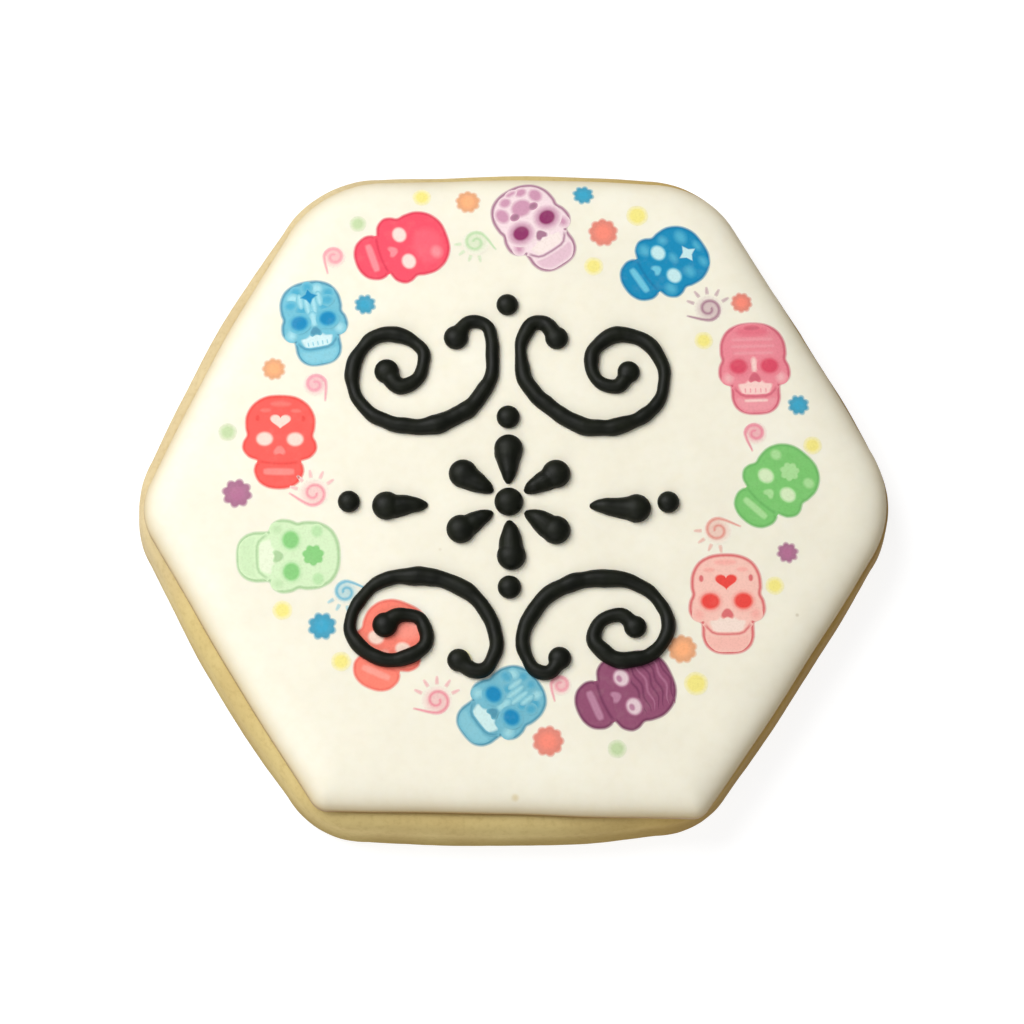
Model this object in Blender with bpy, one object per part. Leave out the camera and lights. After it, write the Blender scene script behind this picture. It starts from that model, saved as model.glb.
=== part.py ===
"""Hexagonal iced biscuit: a rolled biscuit, white run icing and piped scrollwork on the icing."""
import math
import random

import bmesh
import bpy

# Sizes are in metres and +Z is up. The origin is the middle of the biscuit's flat underside.
MM = 0.001
WELD_DISTANCE = 0.005 * MM

# One entry a side, anticlockwise from the upper right:
# distance from the middle, turn from a true hexagon in degrees, outward bow.
BISCUIT_SIDES = (
    (39.95 * MM, -0.4, 0.5 * MM),
    (40.35 * MM, -0.1, 0.55 * MM),
    (40.1 * MM, 2.1, 0.85 * MM),
    (40.6 * MM, 0.4, 0.75 * MM),
    (40.05 * MM, 1.2, 0.85 * MM),
    (39.7 * MM, -3.1, 0.5 * MM),
)
BISCUIT_CORNERS = (11.9 * MM, 13.3 * MM, 12.2 * MM, 10.7 * MM, 10.1 * MM, 12.8 * MM)
ICING_SIDES = (
    (39.1 * MM, -0.8, 0.2 * MM),
    (38.65 * MM, -0.1, 0.4 * MM),
    (38.45 * MM, 3.0, 0.5 * MM),
    (39.3 * MM, 0.9, 0.25 * MM),
    (38.65 * MM, -1.2, 0.0 * MM),
    (39.2 * MM, -3.4, 0.35 * MM),
)
ICING_CORNERS = (11.5 * MM, 13.3 * MM, 7.2 * MM, 2.4 * MM, 2.1 * MM, 12.9 * MM)
SMALLEST_CORNER = 1.2 * MM
CORNER_POINTS = 8
SIDE_POINTS = 8

# Biscuit section: a rounded foot, a nearly upright side and a softer shoulder.
BISCUIT_THICK = 7.5 * MM
FOOT_ROUND = (0.9 * MM, 1.5 * MM)
SHOULDER_ROUND = (2.0 * MM, 2.4 * MM)
SIDE_LEAN = 0.25 * MM
ROUND_STEPS = 4

# Icing section: it stands on the biscuit with a full rounded edge and a low crown.
TOUCH_GAP = 0.3 * MM
ICING_BASE = BISCUIT_THICK + TOUCH_GAP
ICING_THICK = 2.2 * MM
ICING_UNDERCUT = 0.15 * MM
ROLL_WIDTH = 5.4 * MM
ROLL_POWER = 2.4
ROLL_STEPS = 7
CROWN = 0.2 * MM
CROWN_REACH = 38.0 * MM
TOP_RINGS = (0.8, 0.6, 0.4, 0.2)

# Unevenness of the hand-made edges, as (waves round the outline, phase, share of the size),
# and of the dried icing, as (ripples a metre along x, along y, phase, share of the size).
BISCUIT_WOBBLE = 0.10 * MM
ICING_WOBBLE = 0.07 * MM
WOBBLE_WAVES = ((5, 1.3, 0.67), (11, 4.1, 0.47), (19, 2.2, 0.33))
WOBBLE_TWIST = 90
ICING_RIPPLE = 0.04 * MM
RIPPLES = ((210, 0, 0.6, 0.5), (0, 170, 1.1, 0.5), (330, 330, 2.0, 0.6))

# Piping: half width of a line, how far its middle stands over the icing and how much of
# any extra half width sinks instead, then the end beads.
LINE_RADIUS = 0.92 * MM
LINE_LIFT = 0.3 * MM
THICK_SINK = 0.6
LINE_STEP = 1.7 * MM
LINE_FACETS = 2
BEAD_RADIUS = 1.55 * MM
BEAD_FLAT = 0.75
BEAD_SEGMENTS = 10
BEAD_RINGS = 6
HAND_SHAKE = 0.2 * MM
DESIGN_CENTRE = (-0.8 * MM, -2.0 * MM)

SCROLL_ROOT = 9.3 * MM
# One scroll, right of the middle line and above the flower: x, y and swelling of the line.
SCROLL = (
    (5.9 * MM, 20.4 * MM, 1.2),
    (4.5 * MM, 22.2 * MM, 1.0),
    (2.5 * MM, 21.6 * MM, 0.9),
    (1.6 * MM, 18.6 * MM, 0.92),
    (2.4 * MM, 14.7 * MM, 1.05),
    (5.1 * MM, 11.2 * MM, 1.15),
    (9.2 * MM, SCROLL_ROOT, 1.15),
    (13.8 * MM, 9.5 * MM, 1.0),
    (17.3 * MM, 12.2 * MM, 0.88),
    (18.3 * MM, 16.3 * MM, 0.88),
    (16.3 * MM, 19.9 * MM, 1.0),
    (12.6 * MM, 20.7 * MM, 1.08),
    (9.9 * MM, 18.4 * MM, 0.95),
    (10.3 * MM, 15.2 * MM, 0.88),
    (12.9 * MM, 14.2 * MM, 0.98),
    (14.3 * MM, 15.9 * MM, 1.22),
)
LOWER_SCROLL_SCALE = 0.86
END_SWELL = 1.28
PETALS = 6
FLOWER_MIDDLE_SWELL = 1.1
PETAL_SPAN = (2.2 * MM, 6.5 * MM)
LEAF_SPAN = (9.4 * MM, 14.6 * MM)
DROP_RADIUS = 1.6 * MM
# Share of the way out, and share of the radius there.
DROP_SHAPE = ((0.0, 0.15), (0.14, 0.42), (0.38, 0.66), (0.7, 0.88), (1.0, 1.0))
LEAF_ANGLES = (0, 180)
DROP_TIP_SWELL = 1.07
DOTS = (
    (18.6 * MM, 0.0, 0.85),
    (-18.6 * MM, 0.0, 0.85),
    (0.0, 24.4 * MM, 0.85),
    (0.0, 10.4 * MM, 0.9),
    (0.0, -10.3 * MM, 0.9),
)


def new_material(name, colour, roughness):
    material = bpy.data.materials.new(name)
    material.use_nodes = True
    shader = material.node_tree.nodes["Principled BSDF"]
    shader.inputs["Base Color"].default_value = (*colour, 1.0)
    shader.inputs["Roughness"].default_value = roughness
    return material


def line_crossing(angle_a, distance_a, angle_b, distance_b):
    """Point that lies distance_a along normal angle_a and distance_b along normal angle_b."""
    determinant = math.sin(angle_b - angle_a)
    x = (distance_a * math.sin(angle_b) - distance_b * math.sin(angle_a)) / determinant
    y = (distance_b * math.cos(angle_a) - distance_a * math.cos(angle_b)) / determinant
    return x, y


def corner_arc(sides, corners, index, inset):
    following = (index + 1) % len(sides)
    start = math.radians(30 + 60 * index + sides[index][1])
    end = math.radians(30 + 60 * following + sides[following][1])
    sweep = (end - start) % math.tau
    radius = max(corners[index] - inset, SMALLEST_CORNER)
    centre_x, centre_y = line_crossing(
        start, sides[index][0] - inset - radius, end, sides[following][0] - inset - radius
    )
    points = []
    for step in range(CORNER_POINTS + 1):
        angle = start + sweep * step / CORNER_POINTS
        points.append((centre_x + radius * math.cos(angle), centre_y + radius * math.sin(angle)))
    return points


def hexagon_outline(sides, corners, inset):
    """Anticlockwise points of an uneven hexagon with round corners and bowed sides."""
    arcs = [corner_arc(sides, corners, index, inset) for index in range(len(sides))]
    points = []
    for index, (_, turn, bow) in enumerate(sides):
        normal = math.radians(30 + 60 * index + turn)
        start_x, start_y = arcs[index - 1][-1]
        end_x, end_y = arcs[index][0]
        for step in range(1, SIDE_POINTS + 1):
            t = step / (SIDE_POINTS + 1)
            bulge = bow * 4 * t * (1 - t)
            x = start_x + (end_x - start_x) * t + bulge * math.cos(normal)
            y = start_y + (end_y - start_y) * t + bulge * math.sin(normal)
            points.append((x, y))
        points.extend(arcs[index])
    return points


def wobbled(points, height, amount):
    """Small in and out drift of an edge, from waves round the outline that shift with height."""
    moved = []
    for x, y in points:
        angle = math.atan2(y, x)
        drift = 0.0
        for waves, phase, share in WOBBLE_WAVES:
            drift += share * math.sin(waves * angle + phase + WOBBLE_TWIST * height)
        factor = 1 + amount * drift / math.hypot(x, y)
        moved.append((x * factor, y * factor))
    return moved


def icing_surface(x, y):
    """Height of the dried icing: a low crown with faint ripples."""
    crown = CROWN * (1 - (x * x + y * y) / CROWN_REACH**2)
    ripple = 0.0
    for along_x, along_y, phase, share in RIPPLES:
        ripple += share * math.sin(along_x * x + along_y * y + phase)
    return ICING_BASE + ICING_THICK + crown + ICING_RIPPLE * ripple


def biscuit_rings():
    foot_in, foot_high = FOOT_ROUND
    shoulder_in, shoulder_high = SHOULDER_ROUND
    profile = []
    for step in range(ROUND_STEPS + 1):
        angle = math.radians(90 * step / ROUND_STEPS)
        profile.append((foot_high * (1 - math.cos(angle)), foot_in * (1 - math.sin(angle))))
    for step in range(ROUND_STEPS + 1):
        angle = math.radians(90 * step / ROUND_STEPS)
        height = BISCUIT_THICK - shoulder_high * (1 - math.sin(angle))
        profile.append((height, SIDE_LEAN + shoulder_in * (1 - math.cos(angle))))
    rings = []
    for height, inset in profile:
        outline = hexagon_outline(BISCUIT_SIDES, BISCUIT_CORNERS, inset)
        outline = wobbled(outline, height, BISCUIT_WOBBLE)
        rings.append([(x, y, height) for x, y in outline])
    return rings


def icing_rings():
    """Underside outline, then the rolled edge up to the top, then rings towards the middle."""
    rings = []
    base = wobbled(hexagon_outline(ICING_SIDES, ICING_CORNERS, ICING_UNDERCUT), 0, ICING_WOBBLE)
    rings.append([(x, y, ICING_BASE) for x, y in base])
    for step in range(1, ROLL_STEPS + 1):
        angle = math.radians(90 * step / ROLL_STEPS)
        inset = ROLL_WIDTH * (1 - max(math.cos(angle), 0.0) ** (2 / ROLL_POWER))
        fraction = math.sin(angle) ** (2 / ROLL_POWER)
        outline = hexagon_outline(ICING_SIDES, ICING_CORNERS, inset)
        ring = []
        for x, y in wobbled(outline, 0, ICING_WOBBLE):
            ring.append((x, y, ICING_BASE + fraction * (icing_surface(x, y) - ICING_BASE)))
        rings.append(ring)
    rim = rings[-1]
    for scale in TOP_RINGS:
        rings.append([(x * scale, y * scale, icing_surface(x * scale, y * scale)) for x, y, _ in rim])
    return rings


def loft(name, rings, top_height, material, collection):
    """Closed body through rings of equally many points, from the bottom one to a top middle point."""
    shape = bmesh.new()
    rows = [[shape.verts.new(point) for point in ring] for ring in rings]
    count = len(rings[0])
    bottom_middle = shape.verts.new((0, 0, rings[0][0][2]))
    top_middle = shape.verts.new((0, 0, top_height))
    for index in range(count):
        following = (index + 1) % count
        shape.faces.new((bottom_middle, rows[0][following], rows[0][index]))
        for lower, upper in zip(rows, rows[1:]):
            shape.faces.new((lower[index], lower[following], upper[following], upper[index]))
        shape.faces.new((rows[-1][index], rows[-1][following], top_middle))
    bmesh.ops.triangulate(shape, faces=shape.faces)
    bmesh.ops.recalc_face_normals(shape, faces=shape.faces)
    mesh = bpy.data.meshes.new(name)
    shape.to_mesh(mesh)
    shape.free()
    mesh.materials.append(material)
    mesh.shade_smooth()
    body = bpy.data.objects.new(name, mesh)
    collection.objects.link(body)
    return body


def smooth_path(points):
    """Points about LINE_STEP apart on a Catmull-Rom curve through (x, y, radius) points."""
    padded = [points[0], *points, points[-1]]
    path = []
    for before, start, end, after in zip(padded, padded[1:], padded[2:], padded[3:]):
        pieces = max(1, round(math.dist(start[:2], end[:2]) / LINE_STEP))
        for piece in range(pieces):
            t = piece / pieces
            point = []
            for a, b, c, d in zip(before, start, end, after):
                bend = (2 * a - 5 * b + 4 * c - d) * t * t + (3 * b - a - 3 * c + d) * t**3
                point.append(0.5 * (2 * b + (c - a) * t + bend))
            path.append(tuple(point))
    path.append(points[-1])
    return path


def scroll_points(side, level, hand):
    """The scroll mirrored to one side and one level, with the small shake of a hand."""
    points = []
    for x, y, swell in SCROLL:
        if level < 0:
            y = SCROLL_ROOT + (y - SCROLL_ROOT) * LOWER_SCROLL_SCALE
        points.append((
            DESIGN_CENTRE[0] + side * x + hand.uniform(-HAND_SHAKE, HAND_SHAKE),
            DESIGN_CENTRE[1] + level * y + hand.uniform(-HAND_SHAKE, HAND_SHAKE),
            LINE_RADIUS * swell * hand.uniform(0.93, 1.07),
        ))
    return points


def drop_points(angle, span, hand):
    """A pulled drop that points at the middle and swells outwards."""
    angle += math.radians(hand.uniform(-3, 3))
    reach = span[1] * hand.uniform(0.97, 1.03)
    points = []
    for way, share in DROP_SHAPE:
        distance = span[0] + (reach - span[0]) * way
        x = DESIGN_CENTRE[0] + distance * math.cos(angle)
        y = DESIGN_CENTRE[1] + distance * math.sin(angle)
        points.append((x, y, DROP_RADIUS * share))
    return points


def line_lift(radius):
    """How far the middle of a line stands over the icing: thin ends come down, thick ones sink."""
    return LINE_LIFT * min(1, radius / LINE_RADIUS) - THICK_SINK * max(0, radius - LINE_RADIUS)


def add_stroke(name, points, collection):
    """A piped line as a bevelled curve, made into a closed mesh."""
    curve = bpy.data.curves.new(name, "CURVE")
    curve.dimensions = "3D"
    curve.bevel_depth = LINE_RADIUS
    curve.bevel_resolution = LINE_FACETS
    curve.use_fill_caps = True
    spline = curve.splines.new("POLY")
    spline.points.add(len(points) - 1)
    for target, (x, y, radius) in zip(spline.points, points):
        target.co = (x, y, icing_surface(x, y) + line_lift(radius), 1)
        target.radius = radius / LINE_RADIUS
    line = bpy.data.objects.new(name, curve)
    bpy.context.scene.collection.objects.link(line)
    evaluated = line.evaluated_get(bpy.context.evaluated_depsgraph_get())
    mesh = bpy.data.meshes.new_from_object(evaluated)
    shape = bmesh.new()
    shape.from_mesh(mesh)
    bmesh.ops.remove_doubles(shape, verts=shape.verts, dist=WELD_DISTANCE)
    bmesh.ops.recalc_face_normals(shape, faces=shape.faces)
    shape.to_mesh(mesh)
    shape.free()
    stroke = bpy.data.objects.new(name, mesh)
    stroke.matrix_world = line.matrix_world
    collection.objects.link(stroke)
    bpy.data.objects.remove(line)


def add_bead(name, x, y, radius, collection):
    """A pressed bead: a slightly flattened ball set into the icing."""
    shape = bmesh.new()
    bmesh.ops.create_uvsphere(shape, u_segments=BEAD_SEGMENTS, v_segments=BEAD_RINGS, radius=radius)
    bmesh.ops.scale(shape, verts=shape.verts, vec=(1, 1, BEAD_FLAT))
    bmesh.ops.translate(shape, verts=shape.verts, vec=(x, y, icing_surface(x, y) + LINE_LIFT))
    mesh = bpy.data.meshes.new(name)
    shape.to_mesh(mesh)
    shape.free()
    collection.objects.link(bpy.data.objects.new(name, mesh))


def pipe_scrollwork(collection):
    """Four scrolls with beads at their ends, a flower in the middle, two leaves and dots."""
    hand = random.Random(4)
    for side in (1, -1):
        for level in (1, -1):
            points = scroll_points(side, level, hand)
            add_stroke("scroll", smooth_path(points), collection)
            for x, y, radius in (points[0], points[-1]):
                add_bead("scroll_end", x, y, radius * END_SWELL, collection)
    for petal in range(PETALS):
        points = drop_points(math.radians(90 + 360 * petal / PETALS), PETAL_SPAN, hand)
        add_stroke("petal", points, collection)
        x, y, radius = points[-1]
        add_bead("petal_tip", x, y, radius * DROP_TIP_SWELL, collection)
    for angle in LEAF_ANGLES:
        points = drop_points(math.radians(angle), LEAF_SPAN, hand)
        add_stroke("leaf", points, collection)
        x, y, radius = points[-1]
        add_bead("leaf_tip", x, y, radius * DROP_TIP_SWELL, collection)
    add_bead("flower_middle", *DESIGN_CENTRE, BEAD_RADIUS * FLOWER_MIDDLE_SWELL, collection)
    for x, y, swell in DOTS:
        add_bead("dot", DESIGN_CENTRE[0] + x, DESIGN_CENTRE[1] + y, BEAD_RADIUS * swell, collection)


def fuse(body, pieces):
    """Join every object of the pieces collection to the body, then clear the collection."""
    union = body.modifiers.new("piping", "BOOLEAN")
    union.operation = "UNION"
    union.operand_type = "COLLECTION"
    union.collection = pieces
    union.solver = "EXACT"
    evaluated = body.evaluated_get(bpy.context.evaluated_depsgraph_get())
    joined = bpy.data.meshes.new_from_object(evaluated)
    body.modifiers.remove(union)
    body.data = joined
    for piece in list(pieces.objects):
        bpy.data.objects.remove(piece)
    bpy.data.collections.remove(pieces)


def weld(body):
    shape = bmesh.new()
    shape.from_mesh(body.data)
    bmesh.ops.remove_doubles(shape, verts=shape.verts, dist=WELD_DISTANCE)
    bmesh.ops.triangulate(shape, faces=shape.faces)
    shape.to_mesh(body.data)
    shape.free()


def main():
    for old in list(bpy.data.objects):
        bpy.data.objects.remove(old)
    cookie = bpy.data.collections.new("iced_biscuit")
    bpy.context.scene.collection.children.link(cookie)
    piping = bpy.data.collections.new("piping")
    bpy.context.scene.collection.children.link(piping)
    baked = new_material("baked_biscuit", (0.62, 0.44, 0.22), 0.85)
    white = new_material("white_icing", (0.93, 0.90, 0.80), 0.55)
    loft("biscuit", biscuit_rings(), BISCUIT_THICK, baked, cookie)
    icing = loft("icing", icing_rings(), icing_surface(0, 0), white, cookie)
    pipe_scrollwork(piping)
    fuse(icing, piping)
    weld(icing)


main()
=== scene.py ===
"""Looks of the iced hexagonal biscuit: baked crumb, dried icing, printed skulls, piped scrollwork."""
import math
import random

import bmesh
import bpy
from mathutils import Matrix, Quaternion, Vector, bvhtree, geometry, noise


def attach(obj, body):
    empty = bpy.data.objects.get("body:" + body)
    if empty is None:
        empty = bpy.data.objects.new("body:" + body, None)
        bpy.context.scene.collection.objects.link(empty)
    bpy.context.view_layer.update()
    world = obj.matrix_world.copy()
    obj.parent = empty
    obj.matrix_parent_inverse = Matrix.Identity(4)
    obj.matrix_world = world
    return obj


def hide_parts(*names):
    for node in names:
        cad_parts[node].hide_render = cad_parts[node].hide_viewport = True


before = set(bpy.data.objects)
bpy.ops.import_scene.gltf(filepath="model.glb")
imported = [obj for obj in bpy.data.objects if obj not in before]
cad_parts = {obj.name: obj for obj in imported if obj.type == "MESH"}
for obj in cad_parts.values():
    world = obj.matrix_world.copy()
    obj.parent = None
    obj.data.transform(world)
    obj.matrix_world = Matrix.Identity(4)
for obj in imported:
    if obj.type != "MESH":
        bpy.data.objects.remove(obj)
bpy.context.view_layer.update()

# Metres and +Z up, as in the frame.
MM = 0.001

# The camera looks down on the biscuit from a little in front of it.
CAMERA_TILT = 17.0
CAMERA_AZIMUTH = -6.0
CAMERA_ROLL = 5.83
CAMERA_DISTANCE = 0.45
CAMERA_TARGET = Vector((-0.23 * MM, -1.27 * MM, 4.0 * MM))
CAMERA_LENS = 134.0
CAMERA_SENSOR = 36.0

# One entry a side, anticlockwise from the upper right:
# distance from the middle, turn from a true hexagon in degrees, outward bow.
BISCUIT_SIDES = [(distance * MM, turn, bow * MM) for distance, turn, bow in (
    (39.95, -0.4, 0.5), (40.35, -0.1, 0.55), (40.1, 2.1, 0.85),
    (40.6, 0.4, 0.75), (40.05, 1.2, 0.85), (39.7, -3.1, 0.5),
)]
BISCUIT_CORNERS = (11.9 * MM, 13.3 * MM, 12.2 * MM, 10.7 * MM, 10.1 * MM, 12.8 * MM)
ICING_SIDES = [(distance * MM, turn, bow * MM) for distance, turn, bow in (
    (39.1, -0.8, 0.2), (38.65, -0.1, 0.4), (38.45, 3.0, 0.5),
    (39.3, 0.9, 0.25), (38.65, -1.2, 0.0), (39.2, -3.4, 0.35),
)]
ICING_CORNERS = (11.5 * MM, 13.3 * MM, 7.2 * MM, 2.4 * MM, 2.1 * MM, 12.9 * MM)
SMALLEST_CORNER = 1.2 * MM
CORNER_POINTS = 28
SIDE_POINTS = 90

# Biscuit section, and the number of rings up each stretch of it.
BISCUIT_THICK = 7.5 * MM
FOOT_ROUND = (0.9 * MM, 1.5 * MM)
SHOULDER_ROUND = (2.0 * MM, 2.4 * MM)
SIDE_LEAN = 0.25 * MM
FOOT_STEPS = 10
WALL_STEPS = 14
SHOULDER_STEPS = 14
HIDDEN_TOP_INSETS = (3.2 * MM, 6.0 * MM)
UNDER_SCALES = (0.985, 0.96, 0.93, 0.89, 0.84, 0.78, 0.71, 0.63, 0.54, 0.44, 0.33, 0.21, 0.1)

# Icing section. Its skirt runs down into the biscuit, so that the two meet with no gap.
ICING_BASE = 7.8 * MM
ICING_THICK = 2.2 * MM
ICING_SKIRT = (
    (6.2 * MM, 0.7 * MM), (6.9 * MM, 0.15 * MM), (7.4 * MM, 0.04 * MM), (ICING_BASE, 0.02 * MM))
ROLL_WIDTH = 5.4 * MM
ROLL_POWER = 2.4
ROLL_STEPS = 26
TOP_STEPS = 34
CROWN = 0.2 * MM
CROWN_REACH = 38.0 * MM

BISCUIT_WOBBLE = 0.10 * MM
ICING_WOBBLE = 0.07 * MM
BISCUIT_FORM = (BISCUIT_SIDES, BISCUIT_CORNERS, BISCUIT_WOBBLE)
ICING_FORM = (ICING_SIDES, ICING_CORNERS, ICING_WOBBLE)
WOBBLE_WAVES = ((5, 1.3, 0.67), (11, 4.1, 0.47), (19, 2.2, 0.33))
WOBBLE_TWIST = 90
ICING_RIPPLE = 0.04 * MM
RIPPLES = ((210, 0, 0.6, 0.5), (0, 170, 1.1, 0.5), (330, 330, 2.0, 0.6))

# Small marks in the icing: place, radius and tint.
SPECKS = (
    (-0.3 * MM, -37.1 * MM, 0.7 * MM, (240, 230, 204)),
    (32.5 * MM, -15.5 * MM, 0.35 * MM, (226, 222, 214)),
    (-8.8 * MM, -7.7 * MM, 0.35 * MM, (238, 234, 226)),
)

# Piping: the same lines as the solids, drawn finer and joined into one soft skin.
LINE_RADIUS = 0.92 * MM
LINE_LIFT = 0.3 * MM
THICK_SINK = 0.6
LINE_STEP = 0.3 * MM
LINE_FACETS = 5
BEAD_RADIUS = 1.55 * MM
BEAD_FLAT = 0.75
HAND_SHAKE = 0.2 * MM
# Waves in a hand-piped line: noise layer, length, and how much it swells or strays.
PULSES = ((0, 2.6 * MM, 0.15), (5 * MM, 1.1 * MM, 0.07))
WAVER = (9 * MM, 1.9 * MM, 0.14 * MM)
DESIGN_CENTRE = (-0.8 * MM, -2.0 * MM)
SCROLL_ROOT = 9.3 * MM
SCROLL = [(x * MM, y * MM, swell) for x, y, swell in (
    (5.9, 20.4, 1.2), (4.5, 22.2, 1.0), (2.5, 21.6, 0.9), (1.6, 18.6, 0.92), (2.4, 14.7, 1.05),
    (5.1, 11.2, 1.15), (9.2, 9.3, 1.15), (13.8, 9.5, 1.0), (17.3, 12.2, 0.88), (18.3, 16.3, 0.88),
    (16.3, 19.9, 1.0), (12.6, 20.7, 1.08), (9.9, 18.4, 0.95), (10.3, 15.2, 0.88), (12.9, 14.2, 0.98),
    (14.3, 15.9, 1.22),
)]
LOWER_SCROLL_SCALE = 0.86
END_SWELL = 1.28
PETALS = 6
PETAL_SPAN = (2.2 * MM, 6.5 * MM)
LEAF_SPAN = (9.4 * MM, 14.6 * MM)
DROP_RADIUS = 1.6 * MM
# Share of the way out, and share of the radius there.
DROP_SHAPE = ((0.0, 0.15), (0.14, 0.42), (0.38, 0.66), (0.7, 0.88), (1.0, 1.0))
DROP_TIP_SWELL = 1.07
# The flower's middle comes first.
DOTS = [(x * MM, y * MM, swell) for x, y, swell in (
    (0, 0, 1.1), (18.6, 0, 0.85), (-18.6, 0, 0.85), (0, 24.4, 0.85), (0, 10.4, 0.9), (0, -10.3, 0.9),
)]
PIPING_VOXEL = 0.16 * MM

# The print is a stack of thin films that follow the icing.
FILM_LIFT = 0.012 * MM
FILM_STEP = 0.004 * MM
FILM_SINK = 0.12 * MM
FILM_GRID = 0.45 * MM
BARE_ICING = (243, 238, 221)
RIM_SHARE = 0.25


def linear(colour):
    """Linear light from a colour given as 0 to 255 display values."""
    values = []
    for part in colour:
        part /= 255
        values.append(part / 12.92 if part <= 0.04045 else ((part + 0.055) / 1.055) ** 2.4)
    return (*values, 1.0)


def blend(first, second, share):
    return tuple(a + (b - a) * share for a, b in zip(first, second))


def polar(x, y, reach, angle):
    """The point at a distance and a direction from (x, y)."""
    return x + reach * math.cos(angle), y + reach * math.sin(angle)


def line_crossing(angle_a, distance_a, angle_b, distance_b):
    """Point that lies distance_a along normal angle_a and distance_b along normal angle_b."""
    determinant = math.sin(angle_b - angle_a)
    x = (distance_a * math.sin(angle_b) - distance_b * math.sin(angle_a)) / determinant
    y = (distance_b * math.cos(angle_a) - distance_a * math.cos(angle_b)) / determinant
    return x, y


def corner_arc(sides, corners, index, inset):
    following = (index + 1) % len(sides)
    start = math.radians(30 + 60 * index + sides[index][1])
    end = math.radians(30 + 60 * following + sides[following][1])
    sweep = (end - start) % math.tau
    radius = max(corners[index] - inset, SMALLEST_CORNER)
    centre_x, centre_y = line_crossing(
        start, sides[index][0] - inset - radius, end, sides[following][0] - inset - radius
    )
    points = []
    for step in range(CORNER_POINTS + 1):
        angle = start + sweep * step / CORNER_POINTS
        points.append(polar(centre_x, centre_y, radius, angle))
    return points


def hexagon_outline(sides, corners, inset):
    """Anticlockwise points of an uneven hexagon with round corners and bowed sides."""
    arcs = [corner_arc(sides, corners, index, inset) for index in range(len(sides))]
    points = []
    for index, (_, turn, bow) in enumerate(sides):
        normal = math.radians(30 + 60 * index + turn)
        start = arcs[index - 1][-1]
        for step in range(1, SIDE_POINTS + 1):
            t = step / (SIDE_POINTS + 1)
            bulge = bow * 4 * t * (1 - t)
            points.append(polar(*blend(start, arcs[index][0], t), bulge, normal))
        points.extend(arcs[index])
    return points


def edge(form, inset, height=0.0):
    """Outline with the small in and out drift of an edge, from waves that shift with height."""
    sides, corners, wobble = form
    moved = []
    for x, y in hexagon_outline(sides, corners, inset):
        angle = math.atan2(y, x)
        drift = 0.0
        for waves, phase, share in WOBBLE_WAVES:
            drift += share * math.sin(waves * angle + phase + WOBBLE_TWIST * height)
        factor = 1 + wobble * drift / math.hypot(x, y)
        moved.append((x * factor, y * factor))
    return moved


def icing_surface(x, y):
    """Height of the dried icing: a low crown with faint ripples, then finer ones."""
    crown = CROWN * (1 - (x * x + y * y) / CROWN_REACH**2)
    ripple = 0.0
    for along_x, along_y, phase, share in RIPPLES:
        ripple += share * math.sin(along_x * x + along_y * y + phase)
    fine = 0.01 * MM * noise.noise(Vector((x, y, 0)) / (4.5 * MM))
    return ICING_BASE + ICING_THICK + crown + ICING_RIPPLE * ripple + fine


def show(item):
    bpy.context.scene.collection.objects.link(item)
    return item


def new_object(name, vertices, faces, material):
    mesh = bpy.data.meshes.new(name)
    mesh.from_pydata(vertices, [], faces)
    mesh.materials.append(material)
    mesh.update()
    return show(bpy.data.objects.new(name, mesh))


def ring_body(name, rings, bottom_middle, top_middle, material):
    """Closed body through rings of equally many points."""
    vertices = [point for ring in rings for point in ring]
    count = len(rings[0])
    faces = []
    for row in range(len(rings) - 1):
        for index in range(count):
            following = (index + 1) % count
            lower = row * count
            upper = lower + count
            faces.append((lower + index, lower + following, upper + following, upper + index))
    vertices.append(bottom_middle)
    vertices.append(top_middle)
    last = (len(rings) - 1) * count
    for index in range(count):
        following = (index + 1) % count
        faces.append((len(vertices) - 2, following, index))
        faces.append((last + index, last + following, len(vertices) - 1))
    body = new_object(name, vertices, faces, material)
    body.data.shade_smooth()
    return body


def crumb_relief(place):
    """How far the baked surface stands out (positive) or in at a place."""
    out = 0.07 * MM * noise.noise(place / (6.0 * MM))
    out += 0.022 * MM * noise.noise(place / (1.8 * MM))
    out += 0.008 * MM * noise.noise(place / (0.7 * MM))
    distances, centres = noise.voronoi(place / (2.6 * MM))
    if noise.cell(centres[0] * 7.3) > 0.6:
        depth = max(0.0, 1 - distances[0] / 0.12)
        out -= 0.06 * MM * depth * depth * (3 - 2 * depth)
    return out


def biscuit_profile():
    foot_in, foot_high = FOOT_ROUND
    shoulder_in, shoulder_high = SHOULDER_ROUND
    profile = []
    for step in range(FOOT_STEPS + 1):
        angle = math.radians(90 * step / FOOT_STEPS)
        profile.append((foot_high * (1 - math.cos(angle)), foot_in * (1 - math.sin(angle))))
    wall_top = BISCUIT_THICK - shoulder_high
    for step in range(1, WALL_STEPS):
        t = step / WALL_STEPS
        profile.append((foot_high + (wall_top - foot_high) * t, SIDE_LEAN * t))
    for step in range(SHOULDER_STEPS + 1):
        angle = math.radians(90 * step / SHOULDER_STEPS)
        height = BISCUIT_THICK - shoulder_high * (1 - math.sin(angle))
        profile.append((height, SIDE_LEAN + shoulder_in * (1 - math.cos(angle))))
    return profile


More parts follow.
